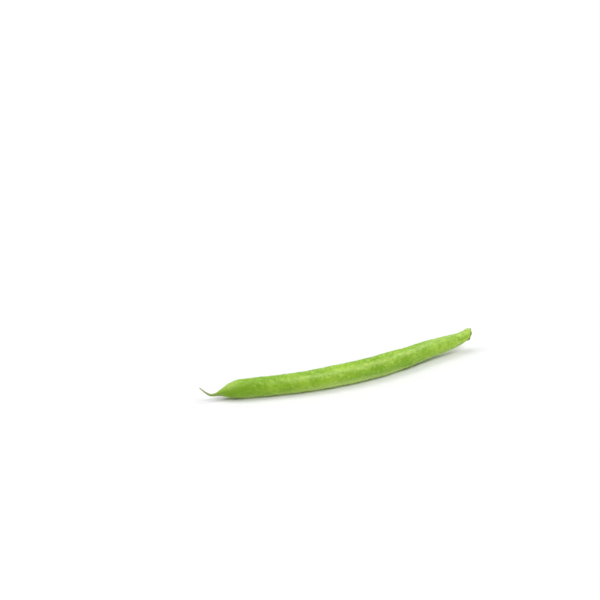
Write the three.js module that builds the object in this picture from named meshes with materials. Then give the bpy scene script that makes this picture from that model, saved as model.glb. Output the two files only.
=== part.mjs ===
// A fresh green bean: one curved pod with its thin beak, and the broken stub of its stalk.
// Millimetres, +Z up. The bean lies on the plane z = 0, on its belly seam with the back seam
// on top, and its beak towards -X. The origin is the middle of its footprint.
import * as THREE from "three";

// ---- driving dimensions ----------------------------------------------------------------

// The pod's middle line from the beak's tip to the stalk end, and how wide the pod is there
// from seam to seam: [along, aside, height, width].
const podStations = [
  [-64.5, 5.0, 6.3, 0.45],
  [-62.5, 4.9, 4.25, 0.65],
  [-60.1, 4.6, 2.5, 1.05],
  [-57.8, 4.2, 2.4, 1.4],
  [-55.5, 3.8, 2.88, 2.75],
  [-52.7, 3.3, 3.25, 5.25],
  [-47.7, 2.3, 3.8, 7.8],
  [-33.4, -0.9, 3.8, 8.2],
  [-13.9, -3.7, 4.1, 8.9],
  [7.1, -3.7, 4.35, 9.3],
  [25.6, -0.9, 4.45, 8.8],
  [41.6, 2.7, 4.8, 7.7],
  [53.1, 4.7, 5.0, 6.4],
  [59.0, 5.7, 5.45, 5.2],
  [62.5, 6.3, 6.35, 4.9],
];
const ringsInSpan = [3, 3, 3, 5, 6, 6, 11, 11, 12, 11, 9, 7, 4, 3];

const valveShare = 0.88; // thickness across the two valves, against the width from seam to seam
const sides = 48; // points round the pod
const seamCrowding = 0.36; // how far those points draw together at the seams, up to 0.5
const leanAtBeak = 20; // degrees that the plane of the seams leans back from upright
const leanAtStalk = 2;

// Where each seed swells the valves: [along, how much of the full swell].
const seeds = [
  [-47.0, 0.6],
  [-36.0, 0.9],
  [-23.0, 1.0],
  [-10.0, 0.9],
  [3.0, 1.0],
  [16.5, 1.0],
  [29.5, 0.9],
  [41.0, 0.5],
];
const seedSwell = 0.32; // height of a full swell on each valve
const seedHalfLength = 3.4;
const seedTowardsBelly = 0.25; // how far the swells lie from the middle of the valve
const backSeam = { ridge: 0.16, ridgeAt: 0.13, ridgeHalf: 0.09, groove: 0.16, grooveHalf: 0.045 };
const bellySeam = { ridge: 0.26, ridgeAt: 0.17, ridgeHalf: 0.1, groove: 0.24, grooveHalf: 0.055 };
const seamFadeWidth = [1.5, 6.5]; // the seams' relief grows from none to full between these widths
const endSlant = 38; // degrees that the pod's end faces down from square, where the stalk sat
const slantSpan = 1.6; // spans before the end over which the rings turn to that slant
const endRound = 0.6; // radius of the rounded rim where the pod meets the stalk
const endRings = 3;

// The stub of the stalk: a thin dried rim over the pod's end, and the broken stalk low on it,
// with a hollow in its broken end. Rings from the pod outwards: [out, up, radius, lobed].
const stubGap = 0.15; // clearance between the rim and the pod's end
const stubRings = [
  [0, 0, 1.95, 0],
  [0.1, 0, 2.15, 0.5],
  [0.32, 0, 2.2, 1],
  [0.52, -0.03, 2.0, 0.7],
  [0.62, -0.24, 1.62, 0.2],
  [0.75, -0.54, 1.24, 0],
  [0.95, -0.81, 1.02, 0],
  [1.25, -0.93, 0.94, 0],
  [1.5, -0.98, 0.97, 0],
  [1.6, -1.0, 0.86, 0],
  [1.46, -1.0, 0.48, 0],
];
const stubSides = 30;
const rimLobes = { count: 5, depth: 0.07 };

const podLook = { color: 0x8db63e, roughness: 0.45, metalness: 0 };
const stubLook = { color: 0x7d6b32, roughness: 0.85, metalness: 0 };

// ---- shapes ----------------------------------------------------------------------------

const up = new THREE.Vector3(0, 0, 1);
const smooth = THREE.MathUtils.smoothstep;
const bell = (distance, half) => Math.exp(-((distance / half) ** 2));
const spans = podStations.length - 1;
const slope = Math.tan(THREE.MathUtils.degToRad(endSlant));

// A closed skin over rings of equal length, fanned shut at both ends.
function skinOver(rings) {
  const around = rings[0].length;
  const position = rings.flat().flatMap((p) => [p.x, p.y, p.z]);
  const face = [];
  const corner = (ring, k) => ring * around + (k % around);
  for (let ring = 0; ring + 1 < rings.length; ring++) {
    for (let k = 0; k < around; k++) {
      const [a, b] = [corner(ring, k), corner(ring, k + 1)];
      const [c, d] = [corner(ring + 1, k + 1), corner(ring + 1, k)];
      face.push(a, b, d, b, c, d);
    }
  }
  for (const [ring, flip] of [[0, true], [rings.length - 1, false]]) {
    const middle = rings[ring]
      .reduce((sum, p) => sum.add(p), new THREE.Vector3())
      .divideScalar(around);
    const apex = position.length / 3;
    position.push(middle.x, middle.y, middle.z);
    for (let k = 0; k < around; k++) {
      const [a, b] = [corner(ring, k), corner(ring, k + 1)];
      face.push(...(flip ? [b, a, apex] : [a, b, apex]));
    }
  }
  const geometry = new THREE.BufferGeometry();
  geometry.setAttribute("position", new THREE.Float32BufferAttribute(position, 3));
  geometry.setIndex(face);
  geometry.computeVertexNormals();
  return geometry;
}

const middleLine = new THREE.CatmullRomCurve3(
  podStations.map(([along, aside, height]) => new THREE.Vector3(along, aside, height)),
);
const widthLine = new THREE.SplineCurve(
  podStations.map(([along, , , width]) => new THREE.Vector2(along, width)),
);

// Directions at a place on the middle line: along it, towards the back seam, across the valves.
function podFrame(t) {
  const along = middleLine.getTangent(t);
  const aside = up.clone().cross(along).normalize();
  const above = along.clone().cross(aside);
  const lean = THREE.MathUtils.degToRad(THREE.MathUtils.lerp(leanAtBeak, leanAtStalk, t));
  const toBack = above.clone().multiplyScalar(Math.cos(lean)).addScaledVector(aside, Math.sin(lean));
  return { along, toBack, across: along.clone().cross(toBack) };
}

// Height of a seam's relief at an angle from its middle: two soft ridges with a groove between.
const seamRelief = (seam, angle) =>
  seam.ridge * bell(Math.abs(angle) - seam.ridgeAt, seam.ridgeHalf) -
  seam.groove * bell(angle, seam.grooveHalf);

// How far the seeds push the valves out at a place along the pod.
const swellAt = (x) =>
  seeds.reduce((sum, [place, share]) => sum + seedSwell * share * bell(x - place, seedHalfLength), 0);

// Angles round the pod from the back seam, crowded at the back and belly seams.
const roundAngles = Array.from({ length: sides }, (_, k) => {
  const even = (2 * Math.PI * k) / sides;
  return even - seamCrowding * Math.sin(2 * even);
});

// One ring of the pod, at a place t on the middle line, moved along it and drawn in for the end.
// Towards the stalk the rings slant until they face partly down.
function podRing(t, onward = 0, drawnIn = 0) {
  const centre = middleLine.getPoint(t);
  const width = widthLine.getPoint(t).y;
  const { along, toBack, across } = podFrame(t);
  centre.addScaledVector(along, onward);
  const slanted = toBack.addScaledVector(along, slope * smooth(t * spans, spans - slantSpan, spans));
  const relief = smooth(width, ...seamFadeWidth);
  const swell = swellAt(centre.x);
  return roundAngles.map((angle) => {
    const [c, s] = [Math.cos(angle), Math.sin(angle)];
    const half = width / 2;
    const fromBack = Math.atan2(s, c);
    const fromBelly = Math.atan2(-s, -c);
    const bulge = swell * s * s * (1 - seedTowardsBelly * c);
    const radius =
      1 / Math.hypot(c / half, s / (half * valveShare)) +
      bulge +
      relief * (seamRelief(backSeam, fromBack) + seamRelief(bellySeam, fromBelly)) -
      drawnIn;
    const p = centre.clone();
    p.addScaledVector(slanted, radius * c).addScaledVector(across, radius * s);
    p.z = Math.max(p.z, 0); // the underside lies flat where it touches down
    return p;
  });
}

function makePod() {
  const rings = [];
  ringsInSpan.forEach((count, span) => {
    for (let n = 0; n < count; n++) rings.push(podRing((span + n / count) / spans));
  });
  for (let n = 0; n <= endRings; n++) {
    const turn = (Math.PI / 2) * (n / endRings);
    rings.push(podRing(1, endRound * Math.sin(turn), endRound * (1 - Math.cos(turn))));
  }
  return skinOver(rings);
}

// The stub's rings lie parallel to the pod's slanted end and match its oval.
function makeStub() {
  const { along, toBack, across } = podFrame(1);
  const faceOut = along.clone().addScaledVector(toBack, -slope).normalize();
  const faceUp = toBack.clone().addScaledVector(along, slope);
  const start = middleLine.getPoint(1).addScaledVector(along, endRound);
  const rings = stubRings.map(([out, rise, radius, lobed]) => {
    const centre = start.clone().addScaledVector(faceOut, stubGap + out).addScaledVector(faceUp, rise);
    return Array.from({ length: stubSides }, (_, k) => {
      const angle = (2 * Math.PI * k) / stubSides;
      const reach = radius * (1 + lobed * rimLobes.depth * Math.cos(rimLobes.count * angle));
      return centre
        .clone()
        .addScaledVector(faceUp, reach * Math.cos(angle))
        .addScaledVector(across, reach * valveShare * Math.sin(angle));
    });
  });
  return skinOver(rings);
}

function named(name, geometry, look) {
  const mesh = new THREE.Mesh(geometry, new THREE.MeshStandardMaterial(look));
  mesh.name = name;
  return mesh;
}

const bean = new THREE.Group();
bean.add(named("pod", makePod(), podLook));
bean.add(named("stalk_stub", makeStub(), stubLook));

export default bean;
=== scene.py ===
import math

import bpy
import numpy as np
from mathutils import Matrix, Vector


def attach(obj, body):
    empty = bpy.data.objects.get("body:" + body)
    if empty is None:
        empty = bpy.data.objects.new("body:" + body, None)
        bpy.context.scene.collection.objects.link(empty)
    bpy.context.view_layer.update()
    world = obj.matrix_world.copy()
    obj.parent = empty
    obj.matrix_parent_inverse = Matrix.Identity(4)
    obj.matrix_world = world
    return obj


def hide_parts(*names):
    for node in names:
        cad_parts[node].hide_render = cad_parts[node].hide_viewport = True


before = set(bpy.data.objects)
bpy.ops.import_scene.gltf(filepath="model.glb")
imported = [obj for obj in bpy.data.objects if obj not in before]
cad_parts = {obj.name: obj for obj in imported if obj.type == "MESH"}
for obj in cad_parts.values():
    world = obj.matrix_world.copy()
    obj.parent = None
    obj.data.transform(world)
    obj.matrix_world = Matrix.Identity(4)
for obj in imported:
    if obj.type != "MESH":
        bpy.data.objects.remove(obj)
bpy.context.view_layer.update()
print("frame loaded:", ", ".join(sorted(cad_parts)))

mm = 0.001  # the scene is in metres


class Field:
    # a socket of a node tree, so that a formula can be written with the usual signs
    def __init__(self, tree, socket):
        self.tree = tree
        self.socket = socket

    def calc(self, operation, *others):
        return mathField(self.tree, operation, self, *others)

    def __add__(self, other):
        return self.calc("ADD", other)

    def __sub__(self, other):
        return self.calc("SUBTRACT", other)

    def __rsub__(self, other):
        return mathField(self.tree, "SUBTRACT", other, self)

    def __mul__(self, other):
        return self.calc("MULTIPLY", other)

    def __truediv__(self, other):
        return self.calc("DIVIDE", other)

    def __rtruediv__(self, other):
        return mathField(self.tree, "DIVIDE", other, self)


def addNode(tree, kind, inputs=None, **settings):
    # an input is found by its name or number, and takes a field, a socket or a plain value
    node = tree.nodes.new(kind)
    for name, value in settings.items():
        setattr(node, name, value)
    for key, value in (inputs or {}).items():
        if isinstance(key, int):
            socket = node.inputs[key]
        else:
            socket = next(s for s in node.inputs if s.enabled and s.name == key)
        if isinstance(value, Field):
            value = value.socket
        if isinstance(value, bpy.types.NodeSocket):
            tree.links.new(value, socket)
        else:
            socket.default_value = value
    return node


def mathField(tree, operation, *values):
    node = addNode(tree, "ShaderNodeMath", dict(enumerate(values)), operation=operation)
    return Field(tree, node.outputs[0])


def vectorMath(tree, operation, inputs):
    return Field(tree, addNode(tree, "ShaderNodeVectorMath", inputs, operation=operation).outputs[0])


def joinXYZ(tree, x, y, z):
    return Field(tree, addNode(tree, "ShaderNodeCombineXYZ", {0: x, 1: y, 2: z}).outputs[0])


def splitXYZ(vector):
    node = addNode(vector.tree, "ShaderNodeSeparateXYZ", {0: vector})
    return [Field(vector.tree, output) for output in node.outputs]


def bell(distance, half):  # 1 in the middle, falling off softly over half
    share = distance / half
    return (share * share * -1.0).calc("EXPONENT")


def stripe(field, middle, half):
    return bell(field - middle, half)


def smoothStep(field, low, high, toLow=0.0, toHigh=1.0):
    inputs = {"Value": field, "From Min": low, "From Max": high, "To Min": toLow, "To Max": toHigh}
    node = addNode(field.tree, "ShaderNodeMapRange", inputs, interpolation_type="SMOOTHSTEP")
    return Field(field.tree, node.outputs["Result"])


def noiseField(place, size, detail, roughness, seed, stretch=(1.0, 1.0, 1.0)):
    # soft noise from 0 to 1 whose lumps are about size across, at a place given in millimetres
    tree = place.tree
    scaled = vectorMath(tree, "MULTIPLY", {0: place, 1: [1 / s for s in stretch]})
    inputs = {"Vector": scaled, "W": seed, "Scale": 1 / size, "Detail": detail, "Roughness": roughness}
    node = addNode(tree, "ShaderNodeTexNoise", inputs, noise_dimensions="4D")
    return Field(tree, node.outputs["Fac"])


cameraView = {
    "lens": 100.0,  # mm, on a 36 mm sensor
    "azimuth": -25.2,  # degrees; 0 looks along +Y
    "elevation": 22.0,
    "distance": 0.6944,  # metres to the point that it looks at
    "lookAt": (-0.0172, 0.0090, 0.0357),
    "clipStart": 0.01,  # metres
    "clipEnd": 50.0,
}


def towards(azimuth, elevation):
    # unit vector to something seen in that direction; azimuth 0 is at the front, on -Y
    turn = math.radians(azimuth)
    climb = math.radians(elevation)
    level = math.cos(climb)
    return Vector((math.sin(turn) * level, -math.cos(turn) * level, math.sin(climb)))


def addCamera():
    back = towards(cameraView["azimuth"], cameraView["elevation"])
    camera = bpy.data.objects.new("camera", bpy.data.cameras.new("camera"))
    camera.data.lens = cameraView["lens"]
    camera.data.clip_start = cameraView["clipStart"]
    camera.data.clip_end = cameraView["clipEnd"]
    camera.location = Vector(cameraView["lookAt"]) + back * cameraView["distance"]
    camera.rotation_euler = (-back).to_track_quat("-Z", "Y").to_euler()
    bpy.context.scene.collection.objects.link(camera)
    bpy.context.scene.camera = camera


studio = {
    "paperFlat": 2.0,  # metres, the radius of the flat middle
    "paperRadius": 4.4,
    "paperRise": 1.1,  # metres that the paper has curved up at its edge
    "paperSides": 96,  # points round each ring of its mesh
    "paperRings": 25,
    "paperColour": (0.78, 0.78, 0.785, 1),
    "paperRoughness": 0.9,
    "paperSpecular": 0.1,
    "worldColour": (1.0, 1.0, 1.0, 1),
    "worldStrength": 0.33,
    # name, azimuth and elevation it shines from, how wide it is in the sky (degrees), strength
    "lamps": [
        ("keyLight", 34.0, 58.0, 36.0, 1.25),
        ("sideLight", 84.0, 50.0, 36.0, 0.95),
        ("backLight", 172.0, 64.0, 30.0, 0.9),
        ("leftLight", 232.0, 46.0, 28.0, 0.5),
    ],
}


def paperMesh():
    # a round sheet, flat in the middle, that curves up all round
    sides = studio["paperSides"]
    steps = np.linspace(0, 1, studio["paperRings"])
    radius = studio["paperFlat"] + (studio["paperRadius"] - studio["paperFlat"]) * steps
    height = studio["paperRise"] * steps**2
    turn = np.linspace(0, 2 * math.pi, sides, endpoint=False)
    points = [(r * math.cos(t), r * math.sin(t), z) for r, z in zip(radius, height) for t in turn]
    faces = [tuple(range(sides))]
    for ring in range(len(steps) - 1):
        for k in range(sides):
            inner = (ring * sides + k, ring * sides + (k + 1) % sides)
            faces.append((inner[0], inner[0] + sides, inner[1] + sides, inner[1]))
    mesh = bpy.data.meshes.new("paper")
    mesh.from_pydata(points, [], faces)
    mesh.shade_smooth()
    return mesh


def addStudio():
    floor = bpy.data.objects.new("floor", paperMesh())
    bpy.context.scene.collection.objects.link(floor)
    material = bpy.data.materials.new("whitePaper")
    material.use_nodes = True
    paper = material.node_tree.nodes["Principled BSDF"]
    paper.inputs["Base Color"].default_value = studio["paperColour"]
    paper.inputs["Roughness"].default_value = studio["paperRoughness"]
    paper.inputs["Specular IOR Level"].default_value = studio["paperSpecular"]
    floor.data.materials.append(material)

    world = bpy.data.worlds.new("studioWorld")
    world.use_nodes = True
    background = world.node_tree.nodes["Background"]
    background.inputs["Color"].default_value = studio["worldColour"]
    background.inputs["Strength"].default_value = studio["worldStrength"]
    bpy.context.scene.world = world

    for name, azimuth, elevation, width, strength in studio["lamps"]:
        lamp = bpy.data.lights.new(name, "SUN")
        lamp.energy = strength
        lamp.angle = math.radians(width)
        holder = bpy.data.objects.new(name, lamp)
        holder.rotation_euler = (-towards(azimuth, elevation)).to_track_quat("-Z", "Y").to_euler()
        bpy.context.scene.collection.objects.link(holder)
    bpy.context.scene.view_settings.view_transform = "Standard"


addCamera()
addStudio()
print("camera, floor and light set")


# Both pieces are rings along a line. A guide holds what is known of each ring, and a tree sweeps a skin
# over them.
weldDistance = 1e-7  # metres; points nearer than this become one
evenKnots = 0.0  # powers of a chord's squared length that space a curve's knots: evenly,
chordKnots = 0.25  # or by the square root of the chord's length


def throughPoints(points, share, knots, runOn):
    # Catmull-Rom curve through the points, that runs on straight past its end points or is held at them
    first = 2 * points[0] - points[1] if runOn else points[0]
    last = 2 * points[-1] - points[-2] if runOn else points[-1]
    padded = np.vstack([first, points, last])
    place = np.clip(share, 0, 1) * (len(points) - 1)
    span = np.minimum(place.astype(int), len(points) - 2)
    w = (place - span)[:, None]
    near = [padded[span + k] for k in range(4)]
    gaps = [np.sum((b - a) ** 2, axis=1, keepdims=True) ** knots for a, b in zip(near, near[1:])]
    (p0, p1, p2, p3), (g0, g1, g2) = near, gaps
    leave = ((p1 - p0) / g0 - (p2 - p0) / (g0 + g1) + (p2 - p1) / g1) * g1
    arrive = ((p2 - p1) / g1 - (p3 - p1) / (g1 + g2) + (p3 - p2) / g2) * g1
    bend = 3 * (p2 - p1) - 2 * leave - arrive
    return p1 + w * (leave + w * (bend + w * (2 * (p1 - p2) + leave + arrive)))


def unit(vectors):
    return vectors / np.linalg.norm(vectors, axis=-1, keepdims=True)


def easeBetween(values, low, high):
    t = np.clip((values - low) / (high - low), 0, 1)
    return t * t * (3 - 2 * t)


def stepLengths(points):
    return np.linalg.norm(np.diff(points, axis=0), axis=1)


def runningTotal(steps):
    return np.concatenate([[0], np.cumsum(steps)])


def guideObject(name, centres, attributes):
    # a row of points, one for each ring, that holds what the sweep needs to know about the ring
    mesh = bpy.data.meshes.new(name)
    mesh.from_pydata(centres.tolist(), [], [])
    for key, values in attributes.items():
        values = np.asarray(values, np.float32)
        isVector = values.ndim == 2
        layer = mesh.attributes.new(key, "FLOAT_VECTOR" if isVector else "FLOAT", "POINT")
        layer.data.foreach_set("vector" if isVector else "value", values.ravel())
    guide = bpy.data.objects.new(name, mesh)
    bpy.context.scene.collection.objects.link(guide)
    return guide


def newTree(name, values, materialLabel):
    # a geometry tree with an input for each value, named by its label, and one for the material
    tree = bpy.data.node_groups.new(name, "GeometryNodeTree")
    tree.interface.new_socket("Geometry", in_out="INPUT", socket_type="NodeSocketGeometry")
    tree.interface.new_socket("Geometry", in_out="OUTPUT", socket_type="NodeSocketGeometry")
    for label, value in values.items():
        kind = "NodeSocketInt" if isinstance(value, int) else "NodeSocketFloat"
        tree.interface.new_socket(label, in_out="INPUT", socket_type=kind).default_value = value
    tree.interface.new_socket(materialLabel, in_out="INPUT", socket_type="NodeSocketMaterial")
    entry = addNode(tree, "NodeGroupInput")
    return tree, {s.name: Field(tree, s) for s in entry.outputs if s.name}


class Sweep:
    # a grid with one row of points for each ring of the guide, and where its points are round the ring
    def __init__(self, tree, guide, sides, crowding=0.0):
        self.tree = tree
        self.guide = guide
        guideSize = addNode(tree, "GeometryNodeAttributeDomainSize", {"Geometry": guide})
        columns = sides + 1
        counts = {"Vertices X": guideSize.outputs["Point Count"], "Vertices Y": columns}
        self.grid = addNode(tree, "GeometryNodeMeshGrid", counts)
        index = Field(tree, addNode(tree, "GeometryNodeInputIndex").outputs[0])
        self.ring = (index / columns).calc("FLOOR")
        even = (index - self.ring * columns) / sides * (2 * math.pi)
        self.angle = even - (even * 2.0).calc("SINE") * crowding
        self.cos = self.angle.calc("COSINE")
        self.sin = self.angle.calc("SINE")

    def sample(self, value, kind):
        # the value that the guide has at the ring
        inputs = {"Geometry": self.guide, "Value": value, "Index": self.ring}
        node = addNode(self.tree, "GeometryNodeSampleIndex", inputs, data_type=kind, domain="POINT")
        return Field(self.tree, node.outputs[0])

    def read(self, name, kind="FLOAT"):
        node = addNode(self.tree, "GeometryNodeInputNamedAttribute", {"Name": name}, data_type=kind)
        return self.sample(node.outputs[0], kind)

    def direction(self, name):
        return self.read(name, "FLOAT_VECTOR")

    def place(self, *reaches):
        # the ring's centre moved along each direction by its reach
        spot = self.sample(addNode(self.tree, "GeometryNodeInputPosition").outputs[0], "FLOAT_VECTOR")
        for direction, reach in reaches:
            moved = vectorMath(self.tree, "SCALE", {0: direction, "Scale": reach})
            spot = vectorMath(self.tree, "ADD", {0: moved, 1: spot})
        return spot

    def store(self, mesh, name, value, kind, domain):
        inputs = {"Geometry": mesh, "Name": name, "Value": value}
        node = "GeometryNodeStoreNamedAttribute"
        return addNode(self.tree, node, inputs, data_type=kind, domain=domain).outputs[0]

    def close(self, position, attributes, material):
        # keeps the attributes by their names, sets the points, and welds the grid into one closed skin
        mesh = self.grid.outputs["Mesh"]
        mesh = self.store(mesh, "UVMap", self.grid.outputs["UV Map"], "FLOAT2", "CORNER")
        for name, value in attributes.items():
            kind = "FLOAT_VECTOR" if value.socket.type == "VECTOR" else "FLOAT"
            mesh = self.store(mesh, name, value, kind, "POINT")
        steps = [
            ("GeometryNodeSetPosition", {"Position": position}),
            ("GeometryNodeMergeByDistance", {"Distance": weldDistance}),
            ("GeometryNodeFlipFaces", {}),
            ("GeometryNodeSetShadeSmooth", {}),
            ("GeometryNodeRealizeInstances", {}),
            ("GeometryNodeSetMaterial", {"Material": material}),
        ]
        for kind, inputs in steps:
            mesh = addNode(self.tree, kind, {0: mesh, **inputs}).outputs[0]
        addNode(self.tree, "NodeGroupOutput", {"Geometry": mesh})


def skinOver(guide, tree, materialLabel, material, name):
    # runs the tree on the guide and keeps the result as a plain mesh object, without the modifier
    modifier = guide.modifiers.new(tree.name, "NODES")
    modifier.node_group = tree
    inputs = [s for s in tree.interface.items_tree if s.in_out == "INPUT"]
    socket = next(s for s in inputs if s.name == materialLabel)
    modifier[socket.identifier] = material
    bpy.context.view_layer.update()
    depsgraph = bpy.context.evaluated_depsgraph_get()
    mesh = bpy.data.meshes.new_from_object(
        guide.evaluated_get(depsgraph),
        preserve_all_data_layers=True,
        depsgraph=depsgraph,
    )
    mesh.name = name
    piece = bpy.data.objects.new(name, mesh)
    bpy.context.scene.collection.objects.link(piece)
    guide.modifiers.clear()
    bpy.data.objects.remove(guide)
    return piece


def materialTree(name):
    material = bpy.data.materials.new(name)
    material.use_nodes = True
    return material, material.node_tree, material.node_tree.nodes["Principled BSDF"]


def attributeField(tree, name, output="Fac"):
    return Field(tree, addNode(tree, "ShaderNodeAttribute", attribute_name=name).outputs[output])


def mixColour(tree, share, first, second):
    inputs = {"Factor": share, "A": first, "B": second}
    return Field(tree, addNode(tree, "ShaderNodeMix", inputs, data_type="RGBA").outputs[2])


class Coat:
    # the colour of a material: a ground, and the design's tones laid over it one by one
    def __init__(self, tree, design, share, first, second):
        self.tree = tree
        self.colours = design["colours"]
        self.tones = design["tones"]
        self.colour = mixColour(tree, share, self.colours[first], self.colours[second])

    def lay(self, name, *shares, **fields):
        # the tone covers by its strength, times the shares, times how far each field is into the tone's
        # range of that name, or how near to the middle of its stripe
        tone = self.tones[name]
        parts = list(shares)
        for key, field in fields.items():
            measure = stripe if key == "stripe" else smoothStep
            parts.append(measure(field, *tone[key]))
        cover = parts[0]
        for part in [*parts[1:], tone["strength"]]:
            cover = cover * part
        self.colour = mixColour(self.tree, cover, self.colour, self.colours[tone["colour"]])


def coverWith(tree, shader, colour, roughness, height, depth):
    # colour, roughness and the bump of a fine grain
    tree.links.new(colour.socket, shader.inputs["Base Color"])
    tree.links.new(roughness.socket, shader.inputs["Roughness"])
    bump = addNode(tree, "ShaderNodeBump", {"Strength": 1.0, "Distance": depth, "Height": height})
    tree.links.new(bump.outputs[0], shader.inputs["Normal"])


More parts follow.
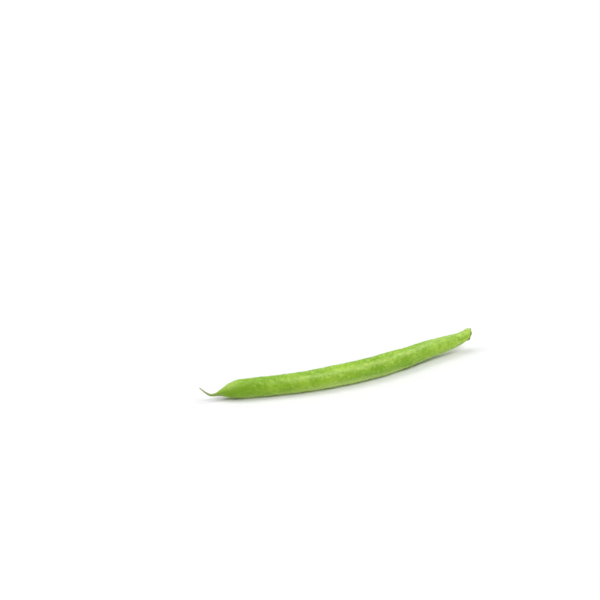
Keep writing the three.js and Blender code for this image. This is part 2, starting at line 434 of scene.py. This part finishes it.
podDesign = {
    # from the beak's tip to the stalk end, in mm: along, aside, height, width from seam to seam
    "stations": [
        (-64.5, 5.0, 6.3, 0.45),
        (-62.5, 4.9, 4.25, 0.65),
        (-60.1, 4.6, 2.5, 1.05),
        (-57.8, 4.2, 2.4, 1.4),
        (-55.5, 3.8, 2.88, 2.75),
        (-52.7, 3.3, 3.25, 5.25),
        (-47.7, 2.3, 3.8, 7.8),
        (-33.4, -0.9, 3.8, 8.2),
        (-13.9, -3.7, 4.1, 8.9),
        (7.1, -3.7, 4.35, 9.3),
        (25.6, -0.9, 4.45, 8.8),
        (41.6, 2.7, 4.8, 7.7),
        (53.1, 4.7, 5.0, 6.4),
        (59.0, 5.7, 5.45, 5.2),
        (62.5, 6.3, 6.35, 4.9),
    ],
    "measureSteps": 6000,  # pieces that the middle line is measured in
    "ringStep": 0.235 * mm,
    "tipRings": 7,  # rings of the dome over the beak's tip
    "rimRings": 13,  # rings of the rounded rim at the stalk end
    "faceRings": 8,  # rings across the face inside that rim
    "leanAtBeak": 20.0,  # degrees that the plane of the seams leans back from upright
    "leanAtStalk": 2.0,
    "endSlant": 38.0,  # degrees that the stalk end faces down from square
    "slantSpan": 1.6,  # spans before the end over which the rings turn to that slant
    "endRound": 0.6 * mm,  # radius of the rim at the stalk end
    "seamFadeWidth": (1.5 * mm, 6.5 * mm),  # the seams' relief grows to full between these widths
    # where each seed swells the valves: along in mm, and how much of the full swell
    "seeds": [
        (-47.0, 0.6),
        (-36.0, 0.9),
        (-23.0, 1.0),
        (-10.0, 0.9),
        (3.0, 1.0),
        (16.5, 1.0),
        (29.5, 0.9),
        (41.0, 0.5),
    ],
    "seedSwell": 0.32 * mm,
    "seedHalfLength": 3.4 * mm,
    # the inputs of the pod's tree
    "relief": {
        "Sides": 160,
        "Seam Crowding": 0.3,  # how far the points of a ring draw together at the seams, up to 0.5
        "Valve Share": 0.88,  # thickness across the two valves, against the width from seam to seam
        "Back Ridge": 0.16 * mm,
        "Back Ridge Place": 0.13,  # places and halves are angles from the middle of the seam, radians
        "Back Ridge Half": 0.09,
        "Back Groove": 0.16 * mm,
        "Back Groove Half": 0.045,
        "Belly Ridge": 0.26 * mm,
        "Belly Ridge Place": 0.17,
        "Belly Ridge Half": 0.1,
        "Belly Groove": 0.24 * mm,
        "Belly Groove Half": 0.055,
        "Seed Towards Belly": 0.25,  # how far the swells lie from the middle of the valve
        "Dent Height": 0.60 * mm,
        "Dent Size": 6.0,  # sizes of patterns are in mm
        "Pebble Height": 0.48 * mm,
        "Pebble Size": 1.1,
        "Touch Softness": 0.06 * mm,  # how softly the skin flattens where it touches down
        "Seed": 3.0,
    },
    # every pattern's stretch is along, up and across
    "dents": dict(detail=1.0, roughness=0.4, stretch=(2.0, 1.0, 1.0)),
    "pebbles": dict(detail=2.0, roughness=0.55, stretch=(1.3, 1.0, 1.0)),
    "pebbleSeedStep": 7.0,
    "unevenHalfWidth": (0.3 * mm, 2.5 * mm),  # dents and pebbles grow to full between these half widths
    # linear colours
    "colours": {
        "deepGreen": (0.152, 0.348, 0.001, 1),
        "freshGreen": (0.280, 0.490, 0.016, 1),
        "paleGreen": (0.430, 0.630, 0.085, 1),
        "grooveGreen": (0.070, 0.160, 0.010, 1),
        "ridgeGreen": (0.330, 0.530, 0.085, 1),
        # painted highlight colour, for the glint stripes
        "highlightGreen": (0.450, 0.630, 0.200, 1),
        # painted reflection colour of the bright floor on the underside
        "bellyReflectionGreen": (0.520, 0.690, 0.200, 1),
        "stalkTint": (0.420, 0.500, 0.090, 1),
        # painted highlight colour for the shoulder behind the beak
        "napeHighlightGreen": (0.440, 0.620, 0.130, 1),
        "beakGreen": (0.225, 0.305, 0.095, 1),
        "beakBrown": (0.240, 0.250, 0.135, 1),
        "scuffBrown": (0.250, 0.200, 0.050, 1),
    },
    "patterns": {
        "patches": dict(size=6.0, detail=3.0, roughness=0.6, seed=1.0, stretch=(2.2, 1.0, 1.0)),
        "streaks": dict(size=0.9, detail=2.0, roughness=0.6, seed=5.0, stretch=(14.0, 1.0, 1.0)),
        "mottle": dict(size=1.4, detail=3.0, roughness=0.65, seed=9.0),
        "ripples": dict(size=0.9, detail=2.0, roughness=0.55, seed=25.0, stretch=(0.9, 3.0, 3.0)),
        "scuffs": dict(size=1.1, detail=1.0, roughness=0.5, seed=21.0, stretch=(2.5, 1.0, 1.0)),
        "wax": dict(size=3.0, detail=2.0, roughness=0.6, seed=17.0, stretch=(1.8, 1.0, 1.0)),
        "grain": dict(size=0.4, detail=3.0, roughness=0.6, seed=13.0, stretch=(1.3, 1.0, 1.0)),
    },
    "groundPatches": (0.3, 0.7),  # deep green turns to fresh green between these values of the patches
    # The tones over the ground. Along is in mm from the beak's tip, round is 0 at the back seam and 1 at
    # the belly seam, and toStalk is the share of the stations passed. A range runs from where the tone
    # is missing to where it is full, and two more numbers in it are the shares there. A stripe has its
    # middle and half width, round the pod or along it.
    "tones": {
        "mottle": dict(
            colour="paleGreen",
            strength=1.0,
            noise=(0.42, 0.7),
            along=(22.0, 60.0, 0.3, 0.8),
        ),
        "streaks": dict(colour="paleGreen", strength=0.22, noise=(0.5, 0.8)),
        "ripples": dict(colour="deepGreen", strength=0.55, noise=(0.42, 0.72)),
        "seeds": dict(colour="paleGreen", strength=0.18),
        "beakHalf": dict(colour="deepGreen", strength=0.5, along=(60.0, 20.0)),
        # painted highlights: the glint along the upper side of each valve, and beside the back seam near
        # the stalk
        "flankHighlight": dict(
            colour="highlightGreen",
            strength=1.0,
            stripe=(0.30, 0.08),  # round
            along=(32.0, 48.0),
            dimming=(70.0, 95.0, 0.3, 0.15),  # along
        ),
        "crownHighlight": dict(
            colour="highlightGreen",
            strength=0.4,
            stripe=(0.0, 0.07),  # round, from crownHighlightMiddle
            along=(88.0, 104.0),
        ),
        # painted shade on the lower half of the valve
        "belowShade": dict(
            colour="deepGreen",
            strength=0.35,
            round=(0.44, 0.56),
            roundEnd=(0.78, 0.64),
            along=(50.0, 80.0),
            alongEnd=(124.0, 112.0),
        ),
        "throat": dict(colour="paleGreen", strength=0.4, round=(0.36, 0.6), along=(112.0, 124.0)),
        # painted reflected light of the floor on the underside
        "belly": dict(colour="bellyReflectionGreen", strength=0.8, round=(0.73, 0.98)),
        "ridges": dict(colour="ridgeGreen", strength=0.45),
        "grooves": dict(colour="grooveGreen", strength=0.75),
        "neck": dict(colour="paleGreen", strength=0.25, toStalk=(0.92, 1.0)),
        "edge": dict(colour="stalkTint", strength=0.8, along=(131.0, 133.5)),
        # painted highlight on the shoulder behind the beak
        "napeHighlight": dict(
            colour="napeHighlightGreen",
            strength=0.6,
            stripe=(14.3, 4.1),  # along
            round=(0.58, 0.33),
        ),
        "beak": dict(colour="beakGreen", strength=0.75, along=(10.5, 5.5)),
        "tip": dict(colour="beakBrown", strength=0.85, along=(10.0, 5.0)),
        "scuffs": dict(colour="scuffBrown", strength=0.5, noise=(0.74, 0.80)),
    },
    "crownHighlightMiddle": (96.0, 116.0, 0.19, 0.09),  # two places along, and how far round the painted highlight stripe is there
    "bellyReflectionStripe": (66.0, 30.0),  # middle and half length along, where the painted floor reflection on the belly reaches further up how much further up, round
    "bellyReflectionReach": 0.15,  # how much higher, round
    "beakLean": 4.0,  # mm that the dry beak reaches further along on the belly than on the back
    # how far the patterns move the edges of the tones, round for round and the painted shoulder
    # highlight, and in mm for the rest
    "wander": dict(far=20.0, along=12.0, round=0.1, napeHighlight=0.15, edge=1.2, tip=2.0),
    "roughness": (0.20, 0.38),
    "roughnessWax": (0.38, 0.62),  # the roughness grows between these values of the wax
    "specularTint": (1.0, 0.97, 0.50, 1),
    "specularLevel": 0.55,
    "bumpDepth": 0.15 * mm,
    "subsurface": 0.7,
    "subsurfaceDepth": 2.2 * mm,
    "subsurfaceReach": (0.6, 1.0, 0.35),  # of red, green and blue light, against that depth
}

podStations = np.array(podDesign["stations"]) * mm
lastSpan = len(podStations) - 1
endSlope = math.tan(math.radians(podDesign["endSlant"]))


def middleLine(share):
    return throughPoints(podStations[:, :3], share, chordKnots, True)


def podWidth(share):
    return throughPoints(podStations[:, 3:], share, evenKnots, False)[:, 0]


def podDirections(share):
    # along the middle line, towards the back seam, and across the valves
    nudge = 1e-4
    along = unit(middleLine(share + nudge) - middleLine(share - nudge))
    aside = unit(np.cross([0, 0, 1], along))
    above = np.cross(along, aside)
    lean = podDesign["leanAtBeak"] + (podDesign["leanAtStalk"] - podDesign["leanAtBeak"]) * share
    lean = np.radians(lean)[:, None]
    toBack = above * np.cos(lean) + aside * np.sin(lean)
    return along, toBack, np.cross(along, toBack)


def podGuide():
    # evenly spaced rings, with a dome over the beak's tip and a rounded rim and face at the stalk end
    dense = np.linspace(0, 1, podDesign["measureSteps"] + 1)
    travelled = runningTotal(stepLengths(middleLine(dense)))
    count = int(travelled[-1] / podDesign["ringStep"])
    body = np.interp(np.linspace(0, travelled[-1], count), travelled, dense)
    tipTurn = np.radians(np.linspace(0, 90, podDesign["tipRings"] + 1))[:-1]
    rimTurn = np.radians(np.linspace(0, 90, podDesign["rimRings"] + 1))[1:]
    faceShrink = np.linspace(1, 0, podDesign["faceRings"] + 1)[1:]
    tipRadius = podStations[0, 3] / 2
    endRound = podDesign["endRound"]

    def column(*values):
        # one value for each ring, from the values of the tip, body, rim and face
        stretches = zip(values, (tipTurn, body, rimTurn, faceShrink))
        return np.concatenate([np.broadcast_to(value, rings.shape) for value, rings in stretches])

    onward = column(-tipRadius * np.cos(tipTurn), 0, endRound * np.sin(rimTurn), endRound)
    drawnIn = column(0, 0, endRound * (1 - np.cos(rimTurn)), endRound)
    fill = column(np.sin(tipTurn), 1, 1, faceShrink)
    share = column(0, body, 1, 1)

    along, toBack, across = podDirections(share)
    centres = middleLine(share) + along * onward[:, None]
    slant = endSlope * easeBetween(share * lastSpan, lastSpan - podDesign["slantSpan"], lastSpan)
    width = podWidth(share)
    swell = 0
    for at, much in podDesign["seeds"]:
        fromSeed = (centres[:, 0] - at * mm) / podDesign["seedHalfLength"]
        swell = swell + podDesign["seedSwell"] * much * np.exp(-(fromSeed**2))
    return guideObject("podGuide", centres, {
        "upward": toBack + along * slant[:, None],
        "across": across,
        "width": width,
        "relief": easeBetween(width, *podDesign["seamFadeWidth"]),
        "swell": swell,
        "drawnIn": drawnIn,
        "fill": fill,
        "distance": (np.interp(share, dense, travelled) + onward) / mm,
        "toStalk": share,
    })


def podSkinTree():
    tree, given = newTree("podSkin", podDesign["relief"], "Skin")
    sweep = Sweep(tree, given["Geometry"], given["Sides"], given["Seam Crowding"])
    cos, sin = sweep.cos, sweep.sin
    half = sweep.read("width") * 0.5
    relief = sweep.read("relief")

    # the oval of the bare pod
    overBack = cos / half
    overValve = sin / (half * given["Valve Share"])
    oval = (overBack * overBack + overValve * overValve).calc("INVERSE_SQRT")

    # the two seams: a groove between two soft ridges
    def seam(name, angle):
        hollow = bell(angle, given[name + " Groove Half"]) * relief
        raised = stripe(angle, given[name + " Ridge Place"], given[name + " Ridge Half"]) * relief
        return hollow, raised

    fromBack = sin.calc("ARCTAN2", cos).calc("ABSOLUTE")
    groove, ridge = seam("Back", fromBack)
    bellyGroove, bellyRidge = seam("Belly", math.pi - fromBack)
    seams = ridge * given["Back Ridge"] - groove * given["Back Groove"]
    seams = seams + bellyRidge * given["Belly Ridge"] - bellyGroove * given["Belly Groove"]

    # the seeds push the valves out, more towards the belly
    bulge = sweep.read("swell") * sin * sin * (1.0 - cos * given["Seed Towards Belly"])

    # place on the pod as if it were straight, in millimetres
    straight = joinXYZ(tree, sweep.read("distance"), oval * cos / mm, oval * sin / mm)
    pebbleSeed = given["Seed"] + podDesign["pebbleSeedStep"]
    dents = noiseField(straight, given["Dent Size"], seed=given["Seed"], **podDesign["dents"]) - 0.5
    pebbles = noiseField(straight, given["Pebble Size"], seed=pebbleSeed, **podDesign["pebbles"]) - 0.5
    uneven = dents * given["Dent Height"] + pebbles * given["Pebble Height"]
    uneven = uneven * smoothStep(half, *podDesign["unevenHalfWidth"])

    radius = (oval + bulge + seams + uneven - sweep.read("drawnIn")) * sweep.read("fill")
    spot = sweep.place(
        (sweep.direction("upward"), radius * cos),
        (sweep.direction("across"), radius * sin),
    )

    # the underside lies flat where it touches down
    x, y, height = splitXYZ(spot)
    soft = given["Touch Softness"]
    lifted = (height + (height * height + soft * soft).calc("SQRT")) * 0.5

    sweep.close(joinXYZ(tree, x, y, lifted), {
        "straight": straight,
        "groove": groove + bellyGroove,
        "ridge": ridge + bellyRidge,
        "fromBack": fromBack / math.pi,
        "overSeed": bulge / podDesign["seedSwell"],
        "toStalk": sweep.read("toStalk"),
    }, given["Skin"])
    return tree


def podSkinMaterial():
    material, tree, skin = materialTree("podSkin")
    straight = attributeField(tree, "straight", "Vector")
    fromBack = attributeField(tree, "fromBack")
    distance = splitXYZ(straight)[0]
    pattern = {name: noiseField(straight, **values) for name, values in podDesign["patterns"].items()}
    patches = pattern["patches"]
    mottle = pattern["mottle"]

    # places moved by the patches, so that the tones end unevenly
    wander = podDesign["wander"]
    farUneven = distance + patches * wander["far"]
    alongUneven = distance + patches * wander["along"]
    roundUneven = fromBack + patches * wander["round"]

    # broad patches with fine mottling, lengthwise streaks and ripples across them
    ground = smoothStep(patches, *podDesign["groundPatches"])
    coat = Coat(tree, podDesign, ground, "deepGreen", "freshGreen")
    coat.lay("mottle", noise=mottle, along=farUneven)
    coat.lay("streaks", noise=pattern["streaks"])
    coat.lay("ripples", noise=pattern["ripples"])

    # paler over the seeds, and deeper in the half towards the beak
    coat.lay("seeds", attributeField(tree, "overSeed"))
    coat.lay("beakHalf", along=farUneven)

    # painted highlight: pale stripes along the upper side of each valve, and beside the back seam
    # towards the stalk, laid where the glint of the lamps runs
    coat.lay("flankHighlight", stripe=fromBack, along=alongUneven, dimming=distance)
    crownHighlightMiddle = smoothStep(distance, *podDesign["crownHighlightMiddle"])
    coat.lay("crownHighlight", stripe=fromBack - crownHighlightMiddle, along=alongUneven)

    # deeper under the middle of the valve, painted shade on the lower side, and paler there where the
    # pod narrows to its stalk
    coat.lay("belowShade", round=roundUneven, roundEnd=fromBack, along=distance, alongEnd=alongUneven)
    coat.lay("throat", round=fromBack, along=alongUneven)

    # painted reflection of the bright floor, paler towards the belly; the seams, and the paler neck and
    # brownish edge at the stalk
    higher = stripe(distance, *podDesign["bellyReflectionStripe"]) * podDesign["bellyReflectionReach"]
    coat.lay("belly", round=roundUneven + higher)
    coat.lay("ridges", attributeField(tree, "ridge"))
    coat.lay("grooves", attributeField(tree, "groove"))
    coat.lay("neck", toStalk=attributeField(tree, "toStalk"))
    coat.lay("edge", along=distance + mottle * wander["edge"])

    # a painted highlight, pale on the back where the pod narrows to its beak, and the beak dries out
    # towards its tip
    coat.lay("napeHighlight", stripe=distance, round=fromBack + patches * wander["napeHighlight"])
    coat.lay("beak", along=distance - fromBack * podDesign["beakLean"])
    coat.lay("tip", along=distance + mottle * wander["tip"])

    # a few small scuffs
    coat.lay("scuffs", noise=pattern["scuffs"])

    roughness = smoothStep(pattern["wax"], *podDesign["roughnessWax"], *podDesign["roughness"])
    coverWith(tree, skin, coat.colour, roughness, pattern["grain"], podDesign["bumpDepth"])
    skin.inputs["Subsurface Weight"].default_value = podDesign["subsurface"]
    skin.inputs["Subsurface Radius"].default_value = podDesign["subsurfaceReach"]
    skin.inputs["Subsurface Scale"].default_value = podDesign["subsurfaceDepth"]
    skin.inputs["Specular IOR Level"].default_value = podDesign["specularLevel"]
    skin.inputs["Specular Tint"].default_value = podDesign["specularTint"]
    return material


def makePod():
    pod = skinOver(podGuide(), podSkinTree(), "Skin", podSkinMaterial(), "pod_skin")
    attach(pod, "root")
    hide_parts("pod")
    return pod


pod = makePod()
print("pod made:", len(pod.data.polygons), "faces")


# a thin dried rim over the pod's end, and the broken stalk low on it
stubDesign = {
    # rings from the pod outwards, in mm: out, up, radius, and shares of the lobes, of the ragged edge
    # and of the bare, torn flesh
    "rings": [
        (-0.25, 0.0, 0.0, 0.0, 0.0, 0.0),
        (-0.25, 0.0, 1.2, 0.0, 0.0, 0.0),
        (0.0, 0.0, 1.95, 0.0, 0.0, 0.0),
        (0.1, 0.0, 2.15, 0.5, 0.3, 0.0),
        (0.32, 0.0, 2.22, 1.0, 1.0, 0.1),
        (0.48, -0.02, 2.08, 1.0, 1.0, 0.3),
        (0.4, -0.04, 1.84, 0.6, 0.8, 0.7),
        (0.42, -0.2, 1.52, 0.2, 0.8, 1.0),
        (0.6, -0.48, 1.26, 0.0, 0.6, 0.9),
        (0.92, -0.8, 1.02, 0.0, 0.4, 0.6),
        (1.22, -0.92, 0.95, 0.0, 0.3, 0.5),
        (1.48, -0.98, 0.98, 0.0, 0.8, 0.7),
        (1.59, -1.0, 0.85, 0.0, 1.0, 1.0),
        (1.46, -1.0, 0.48, 0.0, 0.6, 1.0),
        (1.41, -1.0, 0.0, 0.0, 0.0, 1.0),
    ],
    "ringsInSpan": 10,
    "gap": 0.15 * mm,  # clearance between the rim and the pod's end
    # the inputs of the stub's tree
    "relief": {
        "Sides": 140,
        "Valve Share": podDesign["relief"]["Valve Share"],
        "Lobe Count": 5.0,
        "Lobe Depth": 0.07,  # share of the radius
        "Fibre Height": 0.16 * mm,
        "Fibre Size": 0.5,  # sizes of patterns are in mm
        "Ragged Height": 0.3 * mm,
        "Crumb Height": 0.55 * mm,
        "Crumb Size": 0.5,
        "Seed": 4.0,
    },
    "fibres": dict(detail=3.0, roughness=0.6),
    "fibreRound": 1.6,  # mm, radius of the round bar that the fibres are laid out on
    "fibreRun": 0.35,  # how fast they change along it, against round it
    "tears": dict(detail=2.0, roughness=0.6),
    "tearShare": 0.7,  # size of the tears against the fibres
    "tearSeedStep": 11.0,
    "tatterSpread": 0.8,  # how far the ragged edge frays sideways, against outwards
    "crumbs": dict(detail=3.0, roughness=0.6),
    "crumbSeedStep": 23.0,
    "unevenRadius": (0.0, 0.5 * mm),  # the unevenness grows to full between these radii
    # linear colours
    "colours": {
        "rimBrown": (0.170, 0.190, 0.020, 1),
        "rimOlive": (0.300, 0.370, 0.045, 1),
        "rimPale": (0.470, 0.540, 0.120, 1),
        "fleshBrown": (0.085, 0.060, 0.018, 1),
        "pitShade": (0.022, 0.014, 0.006, 1),
        "crumbTan": (0.330, 0.270, 0.110, 1),
    },
    "patterns": {
        "blotch": dict(size=0.7, detail=3.0, roughness=0.6, seed=2.0),
        "fine": dict(size=0.16, detail=3.0, roughness=0.6, seed=6.0),
        "strands": dict(size=0.16, detail=3.0, roughness=0.6, seed=8.0),
    },
    "groundBlotches": (0.4, 0.62),  # brown turns to olive between these values of the blotches
    # the tones over the ground, with ranges from where each is missing to where it is full
    "tones": {
        "crest": dict(colour="rimPale", strength=0.8, out=(0.36, 0.5), bare=(0.6, 0.25)),  # out in mm
        "flesh": dict(colour="fleshBrown", strength=1.0, bare=(0.5, 0.8)),
        # painted shade in the hollows between the crumbs
        "pits": dict(colour="pitShade", strength=0.85, crumbs=(0.02, -0.1)),
        "crumbs": dict(colour="crumbTan", strength=0.7, crumbs=(0.06, 0.2)),
        "strands": dict(colour="crumbTan", strength=0.4, noise=(0.55, 0.8)),
    },
    "wander": dict(crest=0.2, flesh=0.3, crumbs=0.3),  # how far the patterns move the tones' edges
    "roughness": (0.7, 0.95),
    "roughnessFine": (0.3, 0.7),  # the roughness grows between these values of the fine pattern
    "specularLevel": 0.3,
    "bumpDepth": 0.05 * mm,
}


def stubGuide():
    one = np.array([1.0])
    along, toBack, across = podDirections(one)
    faceOut = unit(along - toBack * endSlope)
    faceUp = toBack + along * endSlope
    start = middleLine(one) + along * podDesign["endRound"]
    rings = np.array(stubDesign["rings"]) * [mm, mm, mm, 1, 1, 1]
    share = np.linspace(0, 1, stubDesign["ringsInSpan"] * (len(rings) - 1) + 1)
    out, rise, radius, lobed, ragged, bare = throughPoints(rings, share, evenKnots, False).T
    same = np.ones((len(share), 1))
    centres = start + faceOut * (stubDesign["gap"] + out)[:, None] + faceUp * rise[:, None]
    return guideObject("stubGuide", centres, {
        "upward": same * faceUp,
        "across": same * across,
        "outward": same * faceOut,
        "radius": np.maximum(radius, 0),
        "lobed": lobed,
        "ragged": ragged,
        "bare": np.clip(bare, 0, 1),
        "out": out / mm,
        "distance": runningTotal(stepLengths(np.column_stack([out, rise, radius]))) / mm,
    })


def stubSkinTree():
    tree, given = newTree("stubSkin", stubDesign["relief"], "Bark")
    sweep = Sweep(tree, given["Geometry"], given["Sides"])
    cos, sin = sweep.cos, sweep.sin
    radius = sweep.read("radius")
    bare = sweep.read("bare")
    out = sweep.read("out")
    fade = smoothStep(radius, *stubDesign["unevenRadius"])

    # fibres run lengthwise, and crumbs of torn flesh are alike in every direction
    fibreRound = stubDesign["fibreRound"]
    lengthwise = sweep.read("distance") * stubDesign["fibreRun"]
    streaky = joinXYZ(tree, lengthwise, cos * fibreRound, sin * fibreRound)
    flesh = joinXYZ(tree, out, radius * cos / mm, radius * sin / mm)
    tearSize = given["Fibre Size"] * stubDesign["tearShare"]
    tearSeed = given["Seed"] + stubDesign["tearSeedStep"]
    crumbSeed = given["Seed"] + stubDesign["crumbSeedStep"]
    fibres = noiseField(streaky, given["Fibre Size"], seed=given["Seed"], **stubDesign["fibres"]) - 0.5
    tears = noiseField(streaky, tearSize, seed=tearSeed, **stubDesign["tears"]) - 0.5
    crumbs = noiseField(flesh, given["Crumb Size"], seed=crumbSeed, **stubDesign["crumbs"]) - 0.5

    lobes = (sweep.angle * given["Lobe Count"]).calc("COSINE")
    lobes = lobes * given["Lobe Depth"] * sweep.read("lobed")
    crumbled = crumbs * bare * given["Crumb Height"]
    tatters = tears * given["Ragged Height"] * sweep.read("ragged") * fade
    reach = radius * (lobes + 1.0) + (fibres * given["Fibre Height"] + crumbled) * fade
    reach = reach + tatters * stubDesign["tatterSpread"]
    spot = sweep.place(
        (sweep.direction("upward"), reach * cos),
        (sweep.direction("across"), reach * sin * given["Valve Share"]),
        (sweep.direction("outward"), tatters + crumbled),
    )
    sweep.close(spot, {
        "streaky": streaky,
        "flesh": flesh,
        "bare": bare,
        "crumbs": crumbs,
        "out": out,
    }, given["Bark"])
    return tree


def driedStalkMaterial():
    material, tree, bark = materialTree("driedStalk")
    patterns = stubDesign["patterns"]
    wander = stubDesign["wander"]
    streaky = attributeField(tree, "streaky", "Vector")
    flesh = attributeField(tree, "flesh", "Vector")
    bare = attributeField(tree, "bare")
    crumbs = attributeField(tree, "crumbs")
    out = attributeField(tree, "out")
    blotch = noiseField(flesh, **patterns["blotch"])
    fine = noiseField(flesh, **patterns["fine"])
    strands = noiseField(streaky, **patterns["strands"])

    # the rim, olive with brown blotches and a paler crest
    ground = smoothStep(blotch, *stubDesign["groundBlotches"])
    coat = Coat(tree, stubDesign, ground, "rimBrown", "rimOlive")
    coat.lay("crest", out=out + blotch * wander["crest"], bare=bare)

    # the torn middle, with painted shade dark in its pits, and tan on its crumbs and strands
    coat.lay("flesh", bare=bare + blotch * wander["flesh"])
    coat.lay("pits", bare, crumbs=crumbs)
    coat.lay("crumbs", bare, crumbs=crumbs + (fine - 0.5) * wander["crumbs"])
    coat.lay("strands", noise=strands)

    roughness = smoothStep(fine, *stubDesign["roughnessFine"], *stubDesign["roughness"])
    coverWith(tree, bark, coat.colour, roughness, fine, stubDesign["bumpDepth"])
    bark.inputs["Specular IOR Level"].default_value = stubDesign["specularLevel"]
    return material


def makeStub():
    stub = skinOver(stubGuide(), stubSkinTree(), "Bark", driedStalkMaterial(), "stalk_end")
    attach(stub, "root")
    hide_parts("stalk_stub")
    return stub


stub = makeStub()
print("stub made:", len(stub.data.polygons), "faces")
